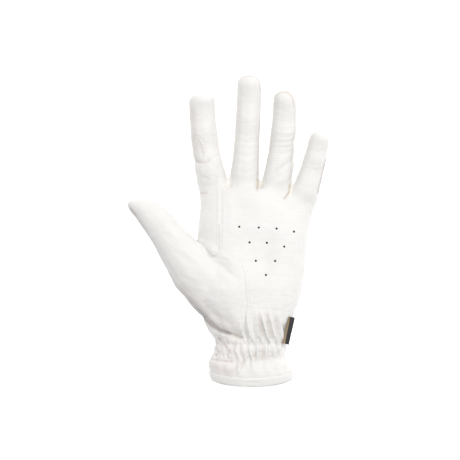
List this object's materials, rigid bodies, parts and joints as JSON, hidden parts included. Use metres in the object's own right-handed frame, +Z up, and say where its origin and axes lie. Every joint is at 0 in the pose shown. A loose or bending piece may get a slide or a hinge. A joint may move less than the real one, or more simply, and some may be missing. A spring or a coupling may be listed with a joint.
{
  "type": "horse riding glove",
  "caption": "Left-hand riding glove of thin white synthetic leather with perforated palm, rein patch, cream fourchettes and a gathered elastic wrist, lying on its back.",
  "frame": {"origin": "under the middle of the glove's box, on the surface it lies on", "axes": "+Y from the hem to the fingertips, +Z up out of the palm, -X towards the thumb"},
  "size_m": [0.152, 0.2332, 0.0374],
  "materials": {
    "white_leather": "matt, finely ribbed grain",
    "cream_fourchette": "matt suede",
    "smocked_panel": "matt, smocked",
    "black_label": "woven, matt"
  },
  "bodies": {
    "root": {"palm_panel": "white_leather", "back_panel": "white_leather", "thumb_front": "white_leather", "thumb_back": "white_leather", "rein_patch": "white_leather", "cuff_hem": "white_leather", "fourchette_index_middle": "cream_fourchette", "fourchette_middle_ring": "cream_fourchette", "fourchette_ring_little": "cream_fourchette", "wrist_side_panel": "smocked_panel", "side_label": "black_label"}
  },
  "joints": []
}
